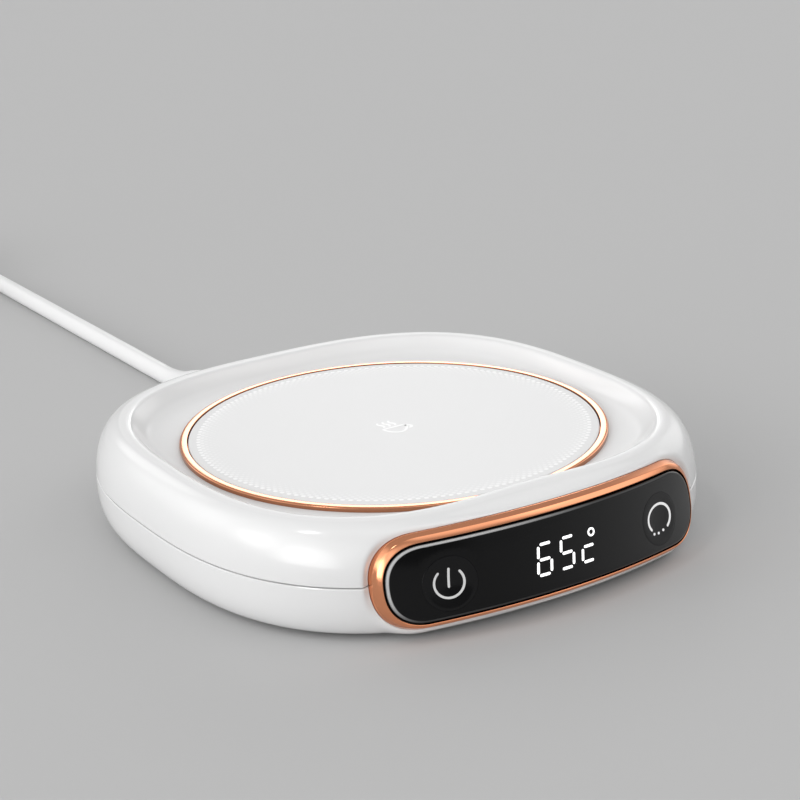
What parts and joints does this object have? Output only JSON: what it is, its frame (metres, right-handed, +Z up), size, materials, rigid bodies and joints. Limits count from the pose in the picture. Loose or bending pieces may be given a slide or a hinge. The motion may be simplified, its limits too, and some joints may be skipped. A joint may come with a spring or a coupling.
{
  "type": "mug warmer",
  "caption": "Electric mug warmer: rounded-square dish with a flat round heated glass plate, a curved front panel with display and press keys, and a mains lead with plug",
  "frame": {"origin": "bottom centre of the housing's bounding box, on the table under the feet, measured without the lead", "axes": "+Z up, -Y towards the control panel, +Y towards the lead, +X to the right seen from the front"},
  "size_m": [0.1381, 0.3794, 0.0229],
  "materials": {
    "white_housing": "smooth moulded white ABS, low gloss",
    "copper_ring": "aluminium, anodised copper colour, satin",
    "copper_bezel": "ABS plated in copper colour, satin",
    "white_glass": "flat tempered glass, printed white from behind",
    "silicone": "heat-proof silicone",
    "aluminium": "plain sheet",
    "heater_film": "polyimide film with etched track",
    "mica_felt": "pressed ceramic felt",
    "steel": "zinc-plated steel",
    "fuse_body": "sealed thermal cut-off",
    "wire": "insulated wire",
    "black_lens": "smoked black acrylic, polished",
    "black_key": "polished black, dished for a finger",
    "black_plastic": "moulded black ABS",
    "circuit_board": "glass-epoxy board",
    "board_parts": "assorted board parts",
    "white_lead": "soft white PVC",
    "plug_metal": "nickel-plated brass",
    "foot_rubber": "grey silicone rubber"
  },
  "bodies": {
    "warmer": {"upper_housing": "white_housing", "lower_housing": "white_housing", "plate_ring": "copper_ring", "glass_plate": "white_glass", "plate_seal": "silicone", "spreader_plate": "aluminium", "heating_element": "heater_film", "insulation_pad": "mica_felt", "heater_tray": "steel", "tray_screws": "steel", "thermistor": "aluminium", "thermal_fuse": "fuse_body", "heater_leads": "wire", "panel_bezel": "copper_bezel", "panel_lens": "black_lens", "panel_carrier": "black_plastic", "key_switches": "black_plastic", "display_board": "circuit_board", "led_display": "board_parts", "display_plug": "board_parts", "display_board_screws": "steel", "display_ribbon": "wire", "main_board": "circuit_board", "main_board_parts": "board_parts", "main_board_screws": "steel", "terminal_block": "black_plastic", "mains_wires": "wire", "cord_clamp": "white_housing", "clamp_screws": "steel", "cord_entry": "white_lead", "strain_relief": "white_lead", "power_cord": "white_lead", "cord_coil": "white_lead", "coil_tie": "white_lead", "plug_body": "white_lead", "plug_blades": "plug_metal", "rubber_feet": "foot_rubber", "housing_screws": "steel"},
    "power_key": {"power_key": "black_key"},
    "mode_key": {"mode_key": "black_key"}
  },
  "joints": [
    {"name": "power_key_press", "type": "slide", "parent": "warmer", "child": "power_key", "axis": [0, 0.9806, -0.1959], "range_m": [0, 0.0004], "stiffness_N_per_m": 1000},
    {"name": "mode_key_press", "type": "slide", "parent": "warmer", "child": "mode_key", "axis": [0, 0.9806, -0.1959], "range_m": [0, 0.0004], "stiffness_N_per_m": 1000}
  ]
}
